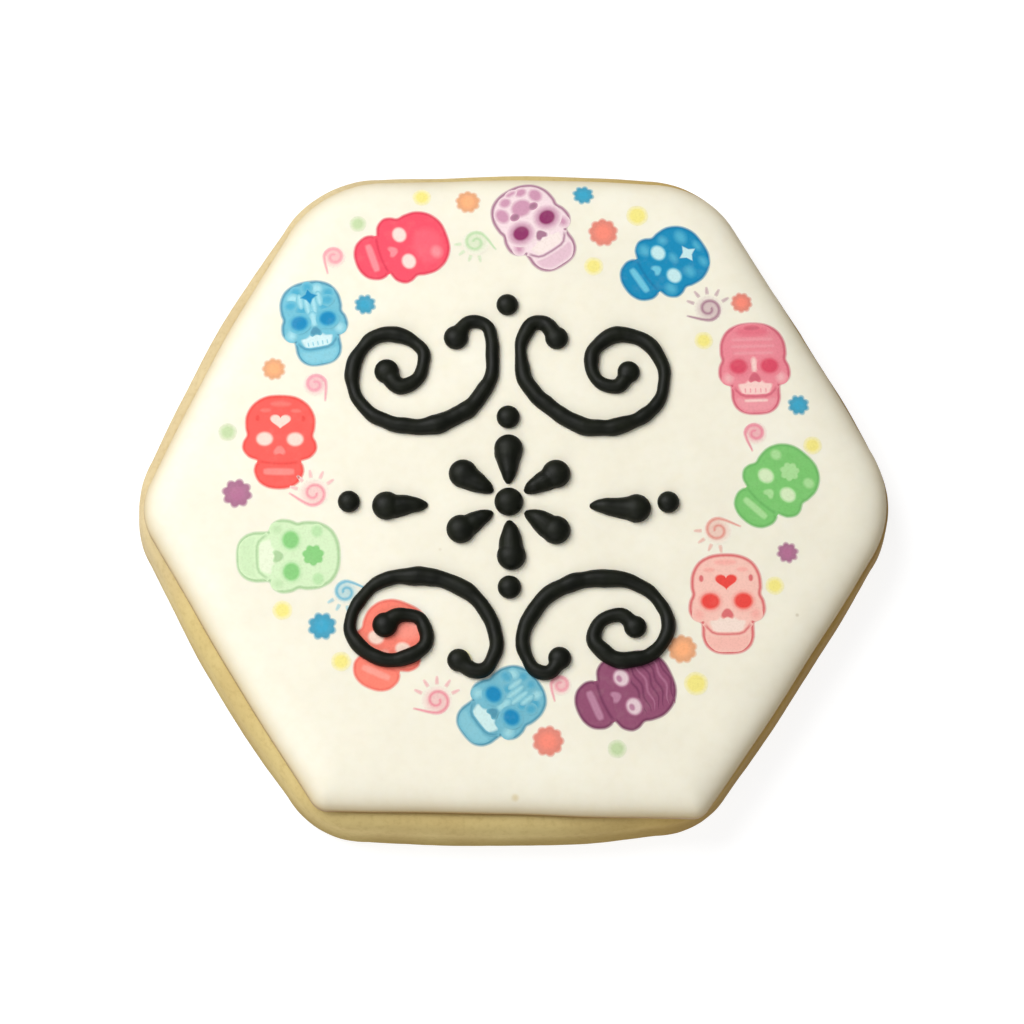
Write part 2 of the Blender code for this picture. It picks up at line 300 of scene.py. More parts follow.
def make_biscuit(material):
    """The baked slab, with pores and soft lumps all over."""
    profile = biscuit_profile()
    rings = []
    foot = edge(BISCUIT_FORM, FOOT_ROUND[0])
    for scale in reversed(UNDER_SCALES):
        ring = []
        for x, y in foot:
            place = Vector((x * scale, y * scale, 0.0))
            place.z = max(0.0, -crumb_relief(place) - 0.03 * MM)
            ring.append(place)
        rings.append(ring)
    for height, inset in profile:
        rings.append([Vector((x, y, height)) for x, y in edge(BISCUIT_FORM, inset, height)])
    for inset in HIDDEN_TOP_INSETS:
        outline = hexagon_outline(BISCUIT_SIDES, BISCUIT_CORNERS, inset)
        rings.append([Vector((x, y, BISCUIT_THICK)) for x, y in outline])
    count = len(foot)
    moved = {}
    for row in range(len(UNDER_SCALES) + 1, len(rings) - len(HIDDEN_TOP_INSETS)):
        for index in range(count):
            around = rings[row][(index + 1) % count] - rings[row][index - 1]
            upward = rings[row + 1][index] - rings[row - 1][index]
            outward = around.cross(upward).normalized()
            place = rings[row][index]
            relief = min(crumb_relief(place), 0.05 * MM) - 0.05 * MM
            target = place + outward * relief
            target.z = min(max(target.z, 0.0), BISCUIT_THICK)
            moved[row, index] = target
    for (row, index), target in moved.items():
        rings[row][index] = target
    return ring_body("biscuit_crumb", rings, (0, 0, 0), (0, 0, BISCUIT_THICK), material)


def make_icing(material):
    """The run icing: a full rounded edge, a nearly level top and a skirt set into the biscuit."""
    rings = [[(x, y, height) for x, y in edge(ICING_FORM, inset)] for height, inset in ICING_SKIRT]
    for step in range(1, ROLL_STEPS + 1):
        angle = math.radians(90 * step / ROLL_STEPS)
        inset = ROLL_WIDTH * (1 - max(math.cos(angle), 0.0) ** (2 / ROLL_POWER))
        fraction = math.sin(angle) ** (2 / ROLL_POWER)
        ring = []
        for x, y in edge(ICING_FORM, inset):
            ring.append((x, y, ICING_BASE + fraction * (icing_surface(x, y) - ICING_BASE)))
        rings.append(ring)
    rim = rings[-1]
    for step in range(1, TOP_STEPS):
        scale = 1 - step / TOP_STEPS
        rings.append([(x * scale, y * scale, icing_surface(x * scale, y * scale)) for x, y, _ in rim])
    return ring_body("icing_top", rings, (0, 0, ICING_SKIRT[0][0]), (0, 0, icing_surface(0, 0)), material)


def curve_point(before, start, end, after, t):
    """Point at the share t of the Catmull-Rom stretch from start to end."""
    point = []
    for a, b, c, d in zip(before, start, end, after):
        bend = (2 * a - 5 * b + 4 * c - d) * t * t + (3 * b - a - 3 * c + d) * t**3
        point.append(0.5 * (2 * b + (c - a) * t + bend))
    return tuple(point)


def smooth_path(points):
    """Points about LINE_STEP apart on a curve through (x, y, radius) points."""
    padded = [points[0], *points, points[-1]]
    path = []
    for before, start, end, after in zip(padded, padded[1:], padded[2:], padded[3:]):
        pieces = max(1, round(math.dist(start[:2], end[:2]) / LINE_STEP))
        for piece in range(pieces):
            path.append(curve_point(before, start, end, after, piece / pieces))
    path.append(points[-1])
    return path


def scroll_points(side, level, hand):
    """The scroll mirrored to one side and one level, with the small shake of a hand."""
    points = []
    for x, y, swell in SCROLL:
        if level < 0:
            y = SCROLL_ROOT + (y - SCROLL_ROOT) * LOWER_SCROLL_SCALE
        points.append((
            DESIGN_CENTRE[0] + side * x + hand.uniform(-HAND_SHAKE, HAND_SHAKE),
            DESIGN_CENTRE[1] + level * y + hand.uniform(-HAND_SHAKE, HAND_SHAKE),
            LINE_RADIUS * swell * hand.uniform(0.93, 1.07),
        ))
    return points


def drop_points(angle, span, hand):
    """A pulled drop that points at the middle and swells outwards."""
    angle += math.radians(hand.uniform(-3, 3))
    reach = span[1] * hand.uniform(0.97, 1.03)
    points = []
    for way, share in DROP_SHAPE:
        distance = span[0] + (reach - span[0]) * way
        points.append((*polar(*DESIGN_CENTRE, distance, angle), DROP_RADIUS * share))
    return points


def line_lift(radius):
    """How far the middle of a line stands over the icing: thin ends come down, thick ones sink."""
    return LINE_LIFT * min(1, radius / LINE_RADIUS) - THICK_SINK * max(0, radius - LINE_RADIUS)


def uneven(x, y, layer, length, reach):
    return noise.noise(Vector((x, y, layer)) / length) * reach


def add_stroke(shape, points):
    """A piped line as a closed tube of rings, with the pulses of a squeezed bag."""
    sides = 4 + 2 * LINE_FACETS
    rows = []
    for index, (x, y, radius) in enumerate(points):
        ahead = points[min(index + 1, len(points) - 1)]
        behind = points[max(index - 1, 0)]
        heading = math.atan2(ahead[1] - behind[1], ahead[0] - behind[0])
        half = radius * (1 + sum(uneven(x, y, *pulse) for pulse in PULSES))
        waver = uneven(x, y, *WAVER)
        middle = icing_surface(x, y) + line_lift(radius)
        row = []
        for side in range(sides):
            angle = math.tau * side / sides
            across = half * math.cos(angle) + waver
            row.append(shape.verts.new((
                x - across * math.sin(heading),
                y + across * math.cos(heading),
                middle + half * math.sin(angle),
            )))
        rows.append(row)
    for lower, upper in zip(rows, rows[1:]):
        for side in range(sides):
            following = (side + 1) % sides
            shape.faces.new((lower[side], lower[following], upper[following], upper[side]))
    shape.faces.new(list(reversed(rows[0])))
    shape.faces.new(rows[-1])


def add_bead(shape, x, y, radius):
    """A pressed bead: a slightly flattened ball set into the icing."""
    ball = bmesh.ops.create_uvsphere(shape, u_segments=28, v_segments=16, radius=radius)["verts"]
    bmesh.ops.scale(shape, verts=ball, vec=(1, 1, BEAD_FLAT))
    bmesh.ops.translate(shape, verts=ball, vec=(x, y, icing_surface(x, y) + LINE_LIFT))


def add_drop(shape, degrees, span, hand):
    points = drop_points(math.radians(degrees), span, hand)
    add_stroke(shape, smooth_path(points))
    x, y, radius = points[-1]
    add_bead(shape, x, y, radius * DROP_TIP_SWELL)


def make_piping(material):
    """Four scrolls with beads at their ends, a flower, two leaves and dots, as one soft skin."""
    shape = bmesh.new()
    hand = random.Random(4)
    for side in (1, -1):
        for level in (1, -1):
            points = scroll_points(side, level, hand)
            add_stroke(shape, smooth_path(points))
            for x, y, radius in (points[0], points[-1]):
                add_bead(shape, x, y, radius * END_SWELL)
    for petal in range(PETALS):
        add_drop(shape, 90 + 360 * petal / PETALS, PETAL_SPAN, hand)
    for angle in (0, 180):
        add_drop(shape, angle, LEAF_SPAN, hand)
    for x, y, swell in DOTS:
        add_bead(shape, DESIGN_CENTRE[0] + x, DESIGN_CENTRE[1] + y, BEAD_RADIUS * swell)
    bmesh.ops.recalc_face_normals(shape, faces=shape.faces)
    mesh = bpy.data.meshes.new("black_piping")
    shape.to_mesh(mesh)
    shape.free()
    mesh.materials.append(material)
    piping = show(bpy.data.objects.new("black_piping", mesh))
    skin = piping.modifiers.new("skin", "REMESH")
    skin.mode = "VOXEL"
    skin.voxel_size = PIPING_VOXEL
    soften = piping.modifiers.new("soften", "SMOOTH")
    soften.factor = 0.5
    soften.iterations = 3
    evaluated = piping.evaluated_get(bpy.context.evaluated_depsgraph_get())
    joined = bpy.data.meshes.new_from_object(evaluated)
    piping.modifiers.clear()
    piping.data = joined
    joined.shade_smooth()
    return piping


def inside(loop, x, y):
    """Whether a point lies inside a closed outline."""
    found = False
    previous_x, previous_y = loop[-1]
    for next_x, next_y in loop:
        if (next_y > y) != (previous_y > y):
            if x < (previous_x - next_x) * (y - next_y) / (previous_y - next_y) + next_x:
                found = not found
        previous_x, previous_y = next_x, next_y
    return found


def extent(loop):
    """Least and greatest x, then least and greatest y."""
    columns, rows = zip(*loop)
    return min(columns), max(columns), min(rows), max(rows)


class Print:
    """Printed shapes gathered into one mesh. Each is a thin closed film that follows the icing.

    Colours sit on the vertices, so that a shape can fade in over its edge.
    """

    def __init__(self, name, ground):
        self.name = name
        self.ground = ground
        self.boxes = []
        self.vertices = []
        self.colours = []
        self.faces = []

    def lift(self, rim):
        """Height over the icing that clears every earlier film whose box meets this one's."""
        box = extent(rim)
        layer = 1
        for other, other_layer in self.boxes:
            if box[0] < other[1] and other[0] < box[1] and box[2] < other[3] and other[2] < box[3]:
                layer = max(layer, other_layer + 1)
        self.boxes.append((box, layer))
        return FILM_LIFT + layer * FILM_STEP

    def height(self, point):
        start = Vector((point.x, point.y, ICING_BASE + 2 * ICING_THICK))
        return self.ground.ray_cast(start, Vector((0, 0, -1)))[0].z

    def add_film(self, rim, rim_colours, core, core_edges, ink):
        """A film with a coloured rim round core points that all have the ink's colour."""
        flat = [Vector(point) for point in [*rim, *core]]
        edges = [(len(rim) + first, len(rim) + second) for first, second in core_edges]
        outline = list(range(len(rim)))
        points, _, triangles, sources, *_ = geometry.delaunay_2d_cdt(flat, edges, [outline], 1, 1e-7)
        start = len(self.vertices)
        count = len(points)
        heights = [self.height(point) for point in points]
        for lift in (self.lift(rim), -FILM_SINK):
            for point, height, origin in zip(points, heights, sources):
                on_rim = [source for source in origin if source < len(rim)]
                self.vertices.append((point.x, point.y, height + lift))
                self.colours.extend(linear(rim_colours[on_rim[0]] if on_rim else ink))
        borders = set()
        for triangle in triangles:
            borders.update(zip(triangle, (*triangle[1:], triangle[0])))
            self.faces.append([start + corner for corner in triangle])
            self.faces.append([start + count + corner for corner in reversed(triangle)])
        for near, far in sorted(borders):
            if (far, near) not in borders:
                self.faces.append([start + near, start + count + near, start + count + far, start + far])

    def add(self, rim, core, ink, under):
        """A shape whose colour goes over from under at its rim to ink at its core."""
        core = list(core)
        count = len(core)
        ring = [(index, (index + 1) % count) for index in range(count)]
        left, right, low, high = extent(core)
        x = left + FILM_GRID / 2
        while x < right:
            y = low + FILM_GRID / 2
            while y < high:
                if inside(core[:count], x, y):
                    core.append((x, y))
                y += FILM_GRID
            x += FILM_GRID
        self.add_film(rim, [under] * len(rim), core, ring, ink)

    def add_line(self, points, half_widths, ink, unders):
        """A line that fades from its middle to the colours under its two edges."""
        rim = ribbon(points, half_widths)
        colours = unders + unders[::-1]
        middle = [(index, index + 1) for index in range(len(points) - 3)]
        self.add_film(rim, colours, points[1:-1], middle, ink)

    def finish(self):
        made = new_object(self.name, self.vertices, self.faces, ink_material())
        inks = made.data.color_attributes.new("ink", "FLOAT_COLOR", "POINT")
        inks.data.foreach_set("color", self.colours)
        made.data.shade_smooth()
        made.data.set_sharp_from_angle(angle=math.radians(30))
        return made


def resized(loop, amount):
    """The outline stretched about its middle so that each of its four extremes moves out by amount."""
    left, right, low, high = extent(loop)
    x = (left + right) / 2
    y = (low + high) / 2
    wider = max(0.12, 1 + amount / (right - x))
    higher = max(0.12, 1 + amount / (high - y))
    return [(x + (px - x) * wider, y + (py - y) * higher) for px, py in loop]


def ellipse(x, y, across, along):
    angles = [math.tau * step / 28 for step in range(28)]
    return [(x + across * math.cos(angle), y + along * math.sin(angle)) for angle in angles]


def flower(x, y, radius, petals, depth, turn=0.0):
    """A round with scalloped petals."""
    loop = []
    for step in range(petals * 10):
        angle = math.tau * step / (petals * 10)
        reach = radius * (1 - depth * (1 - abs(math.cos(petals * angle / 2))))
        loop.append(polar(x, y, reach, angle + turn))
    return loop


def bar(x, y, across, along):
    """A box with round corners."""
    loop = []
    for step in range(24):
        angle = math.tau * (step + 0.5) / 24
        reach_x = abs(math.cos(angle)) ** 0.45 * math.copysign(across, math.cos(angle))
        reach_y = abs(math.sin(angle)) ** 0.45 * math.copysign(along, math.sin(angle))
        loop.append((x + reach_x, y + reach_y))
    return loop


def star(x, y, radius, points, waist):
    loop = []
    for step in range(points * 2):
        angle = math.pi * step / points + math.pi / 2
        reach = radius * (1, waist)[step % 2]
        loop.append(polar(x, y, reach, angle))
    return loop


def heart(x, y, size, height):
    loop = []
    for step in range(30):
        angle = math.tau * step / 30
        across = math.sin(angle) ** 3
        along = (13 * math.cos(angle) - 5 * math.cos(2 * angle) - 2 * math.cos(3 * angle)
                 - math.cos(4 * angle)) / 16
        loop.append((x - size * across, y + size * along * height))
    return loop


def ribbon(points, half_widths):
    """Closed outline round a line whose half width is given at each point."""
    left = []
    right = []
    for index, (x, y) in enumerate(points):
        ahead = points[min(index + 1, len(points) - 1)]
        behind = points[max(index - 1, 0)]
        length = math.dist(ahead, behind)
        across_x = -(ahead[1] - behind[1]) / length * half_widths[index]
        across_y = (ahead[0] - behind[0]) / length * half_widths[index]
        left.append((x + across_x, y + across_y))
        right.append((x - across_x, y - across_y))
    return right + left[::-1]


def closed_curve(points, steps=5):
    """Closed curve through a few points."""
    loop = []
    count = len(points)
    for index in range(count):
        around = [points[(index + shift) % count] for shift in (-1, 0, 1, 2)]
        for step in range(steps):
            loop.append(curve_point(*around, step / steps))
    return loop


def shrunk(loop, amount):
    """The outline moved inwards by amount."""
    moved = []
    for index, (x, y) in enumerate(loop):
        ahead = loop[(index + 1) % len(loop)]
        behind = loop[index - 1]
        length = math.dist(ahead, behind)
        moved.append((
            x - (ahead[1] - behind[1]) / length * amount,
            y + (ahead[0] - behind[0]) / length * amount,
        ))
    return moved


# Right halves of a festive skull's outlines, in units of its own height, from the top down.
LINED_HEAD = (
    (0.135, 0.462), (0.245, 0.4), (0.308, 0.29), (0.32, 0.17), (0.31, 0.1), (0.338, 0.03),
    (0.344, -0.06), (0.306, -0.128), (0.24, -0.165), (0.234, -0.22), (0.232, -0.3),
    (0.198, -0.385), (0.12, -0.443),
)
FILLED_HEAD = (
    (0.15, 0.47), (0.27, 0.39), (0.334, 0.27), (0.337, 0.15), (0.322, 0.07), (0.355, 0.0),
    (0.358, -0.075), (0.3, -0.15), (0.207, -0.19), (0.232, -0.235), (0.238, -0.31),
    (0.192, -0.405), (0.105, -0.46),
)
UPPER_JAW = ((0.055, -0.112), (0.1, -0.142), (0.158, -0.15), (0.15, -0.2), (0.118, -0.25))
LOWER_JAW = ((0.12, -0.3), (0.185, -0.285), (0.178, -0.35), (0.11, -0.415))
NOSE = ((0.022, -0.042), (0.045, -0.07), (0.056, -0.102), (0.036, -0.124))
MOUTH = ((0.215, -0.17), (0.182, -0.215), (0.145, -0.255), (0.1, -0.272), (0.05, -0.274))
CHEEK_LINE = ((0.215, -0.193), (0.16, -0.203), (0.1, -0.212), (0.05, -0.216))
EYE = (0.15, 0.035)


def mirrored(top, half, bottom):
    """Anticlockwise outline from its right half, from the top point down to the bottom one."""
    left = [(-x, y) for x, y in half]
    return closed_curve([(0.0, top), *left, (0.0, bottom), *half[::-1]])


def placed(loop, x, y, turn, size):
    cos = math.cos(turn) * size
    sin = math.sin(turn) * size
    return [(x + px * cos - py * sin, y + px * sin + py * cos) for px, py in loop]


# Line, body, light, accent and pale tones of each skull, as display values. Halo lies between
# body and accent, jaw between body and light.
PALETTES = {
    "crimson": ((226, 58, 84), (248, 80, 102), (250, 98, 116), (250, 222, 212), (252, 142, 150)),
    "mauve": ((168, 118, 142), (243, 220, 224), (206, 150, 176), (142, 46, 100), (246, 230, 224)),
    "blue": ((0, 120, 168), (6, 138, 184), (76, 174, 204), (196, 232, 234), (108, 196, 220)),
    "pink": ((212, 100, 118), (236, 138, 150), (243, 180, 182), (220, 76, 100), (250, 210, 202)),
    "green": ((108, 182, 98), (124, 198, 110), (160, 216, 142), (214, 234, 190), (170, 220, 150)),
    "rose": ((220, 112, 112), (248, 196, 182), (247, 176, 164), (236, 72, 64), (246, 222, 208)),
    "purple": ((118, 54, 88), (146, 78, 110), (174, 110, 140), (228, 202, 208), (186, 130, 156)),
    "sky": ((78, 148, 172), (114, 184, 202), (156, 212, 220), (8, 134, 184), (204, 234, 232)),
    "salmon": ((240, 110, 94), (252, 130, 110), (252, 148, 130), (252, 218, 200), (252, 158, 142)),
    "leaf": ((172, 206, 154), (212, 236, 192), (194, 224, 174), (136, 204, 124), (232, 242, 212)),
    "red": ((236, 76, 70), (252, 94, 86), (253, 120, 110), (252, 218, 204), (254, 138, 130)),
    "azure": ((76, 148, 176), (112, 190, 210), (166, 220, 230), (0, 136, 188), (210, 236, 238)),
}

# Name, style, middle in plan, direction of the crown in degrees, height, forehead motif.
SKULLS = (
    ("crimson", "filled", -13.4, 29.5, 19, 11.8, "patch"),
    ("mauve", "lined", 2.7, 32.2, 124, 12.4, "petals"),
    ("blue", "filled", 17.8, 27.5, 33, 11.4, "star"),
    ("pink", "lined", 28.3, 14.5, 92, 12.2, "bands"),
    ("green", "filled", 30.3, -0.1, 47, 11.4, "flower"),
    ("rose", "lined", 24.4, -14.3, 91, 12.8, "heart"),
    ("purple", "filled", 12.3, -24.9, 23, 12.2, "waves"),
    ("sky", "lined", -2.0, -26.6, 37, 11.4, "patches"),
    ("salmon", "filled", -14.8, -19.3, 66, 11.4, "patch"),
    ("leaf", "lined", -26.5, -8.5, 2, 12.8, "flower"),
    ("red", "filled", -27.5, 5.3, 89, 11.9, "heart"),
    ("azure", "lined", -23.6, 20.0, 101, 11.3, "mosaic"),
)

# Spots and small flowers: colour, petals (0 for a round spot) and places with their radius.
SPOTS = (
    ("spot_green", (196, 216, 166), 0, ((-18.5, 32.7, 0.75), (-33.6, 6.6, 0.83), (11.4, -31.4, 0.83))),
    ("spot_yellow", (244, 231, 134), 0, (
        (-10.9, 36.2, 0.85), (14.8, 33.9, 1.05), (9.5, 27.4, 0.9), (22.4, 18.1, 0.85),
        (34.9, 5.1, 0.85), (30.0, -12.0, 0.85), (20.6, -23.7, 1.15), (-27.0, -15.0, 0.9),
        (-20.2, -21.1, 0.9), (-6.4, -20.9, 1.0),
    )),
    ("flower_orange", (254, 178, 124), 9, ((-5.4, 35.6, 1.4), (-28.3, 14.4, 1.3), (19.1, -19.6, 1.65))),
    ("flower_coral", (249, 140, 119), 9, ((10.7, 31.7, 1.7), (27.0, 22.9, 1.2), (3.5, -30.5, 1.75))),
    ("flower_blue", (60, 166, 200), 8, (
        (8.4, 36.6, 1.2), (-17.6, 22.5, 1.2), (33.4, 10.1, 1.2), (-22.4, -16.9, 1.6),
    )),
    ("flower_purple", (180, 112, 146), 8, ((-32.4, -0.9, 1.7), (31.6, -8.0, 1.2))),
)
PETAL_DEPTH = {8: 0.2, 9: 0.14}

# Small curls: line colour, middle, radius, where the tail leaves the ring in degrees, which way
# round it goes from there, rays and the direction of their middle.
CURLS = (
    ("pink_a", (244, 160, 170), -21.3, 28.5, 1.15, 180, 1, 0, 0),
    ("green", (188, 218, 168), -4.5, 30.4, 1.3, 50, -1, 4, 235),
    ("pink_b", (238, 158, 172), -23.4, 12.5, 1.2, 10, -1, 0, 0),
    ("pink_c", (240, 152, 162), -23.5, -0.9, 1.45, 250, -1, 5, 100),
    ("mauve", (166, 120, 138), 23.1, 22.1, 1.4, 270, -1, 5, 95),
    ("pink_d", (234, 138, 154), 28.2, 6.6, 1.15, 190, 1, 0, 0),
    ("salmon", (226, 148, 134), 23.5, -5.3, 1.4, 80, -1, 4, 230),
    ("pink_e", (238, 158, 168), 5.0, -23.9, 1.05, 180, 1, 0, 0),
    ("sky", (108, 182, 206), -19.7, -12.8, 1.25, 80, -1, 4, 260),
    ("pink_f", (234, 140, 152), -9.2, -25.7, 1.45, 270, -1, 5, 90),
)

# Points of a curl's tail and ring, the tail's length in radii, and the ring's turns.
TAIL_POINTS = 7
RING_POINTS = 30
TAIL_LENGTH = 1.9
RING_TURNS = 1.35

LINE, BODY, LIGHT, ACCENT, PALE, HALO, JAW = range(7)


def both_ways(half, bottom):
    """An open line across the face from its right half."""
    return [*half, (0.0, bottom), *[(-x, y) for x, y in half[::-1]]]


def head_shapes(style):
    """Ground of a skull, as (outline, tone, tone under it, softness).

    Softness is in millimetres. A list of half widths instead makes the outline an open line.
    """
    if style == "filled":
        head = mirrored(0.488, FILLED_HEAD, -0.475)
        gap = both_ways(CHEEK_LINE, -0.218)
        return [
            (head, LINE, None, 0.24),
            (shrunk(head, 0.024), BODY, LINE, 0.26),
            (gap, LINE, BODY, [0.024] * len(gap)),
        ]
    head = mirrored(0.478, LINED_HEAD, -0.458)
    return [
        (head, LINE, None, 0.24),
        (shrunk(head, 0.026), BODY, LINE, 0.24),
        (mirrored(-0.303, LOWER_JAW, -0.425), JAW, BODY, 0.4),
    ]


def ovals(tone, under, soft, *places):
    """Ellipses of one tone, each place as x, y and half widths across and along."""
    return [(ellipse(*place), tone, under, soft) for place in places]


def oval_pair(tone, under, soft, x, y, across, along):
    """The same ellipse on both sides of the face."""
    return ovals(tone, under, soft, (x, y, across, along), (-x, y, across, along))


def filled_face(motif):
    """Eyes, nose and jaws, given as the shapes of the head."""
    shapes = [
        (bar(0.0, -0.3, 0.15, 0.034), PALE, BODY, 0.3),
        (mirrored(-0.036, NOSE, -0.112), PALE, BODY, 0.3),
        *oval_pair(LIGHT, BODY, 0.3, *EYE, 0.092, 0.08),
        *oval_pair(ACCENT, LIGHT, 0.3, *EYE, 0.077, 0.066),
    ]
    if motif == "waves":
        shapes += oval_pair(PALE, ACCENT, 0.24, EYE[0], EYE[1] - 0.02, 0.034, 0.026)
    return shapes


def lined_face(motif):
    shapes = [(mirrored(-0.118, UPPER_JAW, -0.256), PALE, BODY, 0.34)]
    if motif in ("bands", "mosaic"):
        shapes += [(bar(0.05 * tooth, -0.214, 0.005, 0.022), JAW, PALE, 0.14) for tooth in range(-2, 3)]
    if motif == "bands":
        shapes.append((bar(0.0, -0.318, 0.11, 0.012), PALE, JAW, 0.24))
    mouth = both_ways(MOUTH, -0.276)
    halo = 0.125 if motif == "petals" else 0.1
    return [
        *shapes,
        (mouth, LINE, BODY, [0.02] * len(mouth)),
        (mirrored(-0.034, NOSE, -0.112), LINE, BODY, 0.24),
        *oval_pair(LIGHT, BODY, 0.7, 0.255, -0.085, 0.04, 0.045),
        *oval_pair(HALO, BODY, 0.6, *EYE, halo, halo * 0.9),
        *oval_pair(ACCENT, HALO, 0.3, *EYE, 0.08, 0.071),
    ]


def wave_lines():
    """Seven wavy hair lines over the forehead, thin at both ends."""
    shapes = []
    reach = [0.02 * math.sin(math.pi * (step + 0.6) / 17.2) for step in range(17)]
    for row in range(7):
        points = []
        for step in range(17):
            x = -0.272 + 0.034 * step
            y = 0.12 + 0.055 * row + 0.014 * math.sin(step * 0.9 + row) - (0.2 + 0.1 * row) * x * x
            points.append((x, y))
        shapes.append((points, (LINE, LIGHT)[row % 3 == 2], BODY, reach))
    return shapes


def patchwork(motif):
    """A ring of small uneven patches with streaks inside it."""
    hand = random.Random(len(motif))
    shapes = []
    for step in range(10):
        angle = math.tau * (step + 0.5) / 10
        x = 0.2 * math.cos(angle) * hand.uniform(0.85, 1.15)
        y = 0.28 + 0.12 * math.sin(angle) * hand.uniform(0.9, 1.15)
        patch = (x, y, hand.uniform(0.035, 0.055), hand.uniform(0.035, 0.05))
        shapes += ovals((HALO, LIGHT)[step % 3 == 1], BODY, 0.5, patch)
    shapes += ovals(
        LIGHT, BODY, 0.4,
        (-0.1, 0.27, 0.022, 0.07), (-0.035, 0.22, 0.022, 0.1),
        (0.035, 0.22, 0.022, 0.1), (0.1, 0.27, 0.022, 0.07),
    )
    shapes += ovals(LIGHT, BODY, 0.5, (0.0, 0.05, 0.035, 0.075))
    if motif == "mosaic":
        shapes.append((star(0.0, 0.31, 0.085, 4, 0.5), ACCENT, BODY, 0.3))
    return shapes


def motif_shapes(style, motif):
    """Forehead and cheeks, given as the shapes of the head."""
    filled = style == "filled"
    if motif == "heart":
        return [
            (heart(0.0, 0.225, 0.1, 0.8), ACCENT, BODY, 0.24),
            *ovals(LIGHT, BODY, 0.4, (0.0, 0.4, 0.1, 0.026)),
            *oval_pair(LINE, BODY, 0.2, 0.225, 0.25, 0.02, 0.032),
            *oval_pair(LIGHT, BODY, 0.3, 0.15, 0.33, 0.05, 0.02),
        ]
    if motif == "star":
        return [
            *ovals(
                LIGHT, BODY, 0.7, (-0.17, 0.33, 0.07, 0.05), (0.2, 0.2, 0.06, 0.045),
                (-0.24, 0.15, 0.04, 0.04), (-0.02, 0.14, 0.05, 0.03), (0.18, 0.38, 0.05, 0.03),
                (0.25, -0.07, 0.06, 0.05), (-0.25, -0.07, 0.06, 0.05), (0.0, 0.42, 0.05, 0.02),
            ),
            (star(0.02, 0.29, 0.095, 4, 0.5), ACCENT, BODY, 0.3),
        ]
    if motif == "flower":
        return [
            (flower(0.0, 0.235, 0.1, 7, 0.2), (ACCENT, PALE)[filled], BODY, 0.26),
            *oval_pair((HALO, PALE)[filled], BODY, 0.4, 0.225, 0.275, 0.055, 0.05),
        ]
    if motif == "petals":
        return [
            *ovals(
                LIGHT, BODY, 0.46, (0.0, 0.25, 0.1, 0.085), (-0.2, 0.28, 0.06, 0.075),
                (0.19, 0.29, 0.06, 0.07), (-0.1, 0.38, 0.055, 0.045), (0.09, 0.39, 0.055, 0.04),
                (0.0, 0.43, 0.05, 0.02),
            ),
            *oval_pair(LINE, LIGHT, 0.26, 0.105, 0.205, 0.04, 0.028),
        ]
    if motif == "bands":
        return [
            *ovals(HALO, BODY, 0.8, (0.0, 0.39, 0.16, 0.05)),
            *ovals(LINE, HALO, 0.3, (0.0, 0.425, 0.07, 0.02)),
            *[(bar(0.0, y, across, 0.012), JAW, BODY, 0.34)
              for y, across in ((0.31, 0.2), (0.24, 0.21), (0.17, 0.19))],
            *ovals(PALE, BODY, 0.44, (0.0, 0.05, 0.028, 0.075)),
        ]
    if motif == "waves":
        return wave_lines()
    if motif in ("mosaic", "patches"):
        return patchwork(motif)
    return [
        *ovals(LIGHT, BODY, 0.9, (0.05, 0.27, 0.19, 0.145)),
        *ovals(PALE, LIGHT, 0.6, (0.14, 0.33, 0.06, 0.05)),
    ]


def print_skull(ground, name, style, x, y, crown, height, motif):
    inks = list(PALETTES[name])
    inks.append(blend(inks[BODY], inks[ACCENT], 0.35))
    inks.append(blend(inks[BODY], inks[LIGHT], 0.4))
    sheet = Print("print_skull_" + name, ground)
    spot = (x * MM, y * MM, math.radians(crown - 90), height * MM)
    face = filled_face(motif) if style == "filled" else lined_face(motif)
    for loop, tone, under, soft in head_shapes(style) + motif_shapes(style, motif) + face:
        below = blend(BARE_ICING, inks[tone], RIM_SHARE) if under is None else inks[under]
        if isinstance(soft, list):
            half_widths = [share * height * MM for share in soft]
            sheet.add_line(placed(loop, *spot), half_widths, inks[tone], [below] * len(loop))
        else:
            fade = soft / height / 2
            if under in (None, LINE):
                rim, core = shrunk(loop, -fade), shrunk(loop, fade)
            else:
                rim, core = resized(loop, fade), resized(loop, -fade)
            sheet.add(placed(rim, *spot), placed(core, *spot), inks[tone], below)
    return sheet.finish()


def print_spots(ground, name, colour, petals, places):
    sheet = Print("print_" + name, ground)
    petal = blend(colour, (112, 104, 108), 0.16) if petals else colour
    below = blend(BARE_ICING, petal, RIM_SHARE)
    fade = (0.15 if petals else 0.28) * MM
    for x, y, radius in places:
        loop = flower(x * MM, y * MM, radius * MM, petals or 5, PETAL_DEPTH.get(petals, 0.03), x)
        sheet.add(resized(loop, fade), resized(loop, -fade), petal, below)
        if petals:
            rim, core = (ellipse(x * MM, y * MM, radius * share * MM, radius * share * MM)
                         for share in (0.75, 0.35))
            sheet.add(rim, core, colour, petal)
    return sheet.finish()


def curl_line(radius, leave, way):
    """A tail that leaves the ring along its tangent, then the ring wound up to the middle."""
    start = math.radians(leave)
    points = []
    for step in range(TAIL_POINTS):
        along = TAIL_LENGTH * radius * (1 - step / (TAIL_POINTS - 1))
        bend = 0.2 * along * along / radius * (1 - 0.27 * along / radius)
        x = (radius - bend) * math.cos(start) - way * along * math.sin(start)
        y = (radius - bend) * math.sin(start) + way * along * math.cos(start)
        points.append((x, y))
    for step in range(1, RING_POINTS + 1):
        angle = start - way * step / RING_POINTS * RING_TURNS * math.tau
        reach = radius * (1 - 0.8 * step / RING_POINTS)
        points.append(polar(0, 0, reach, angle))
    return points


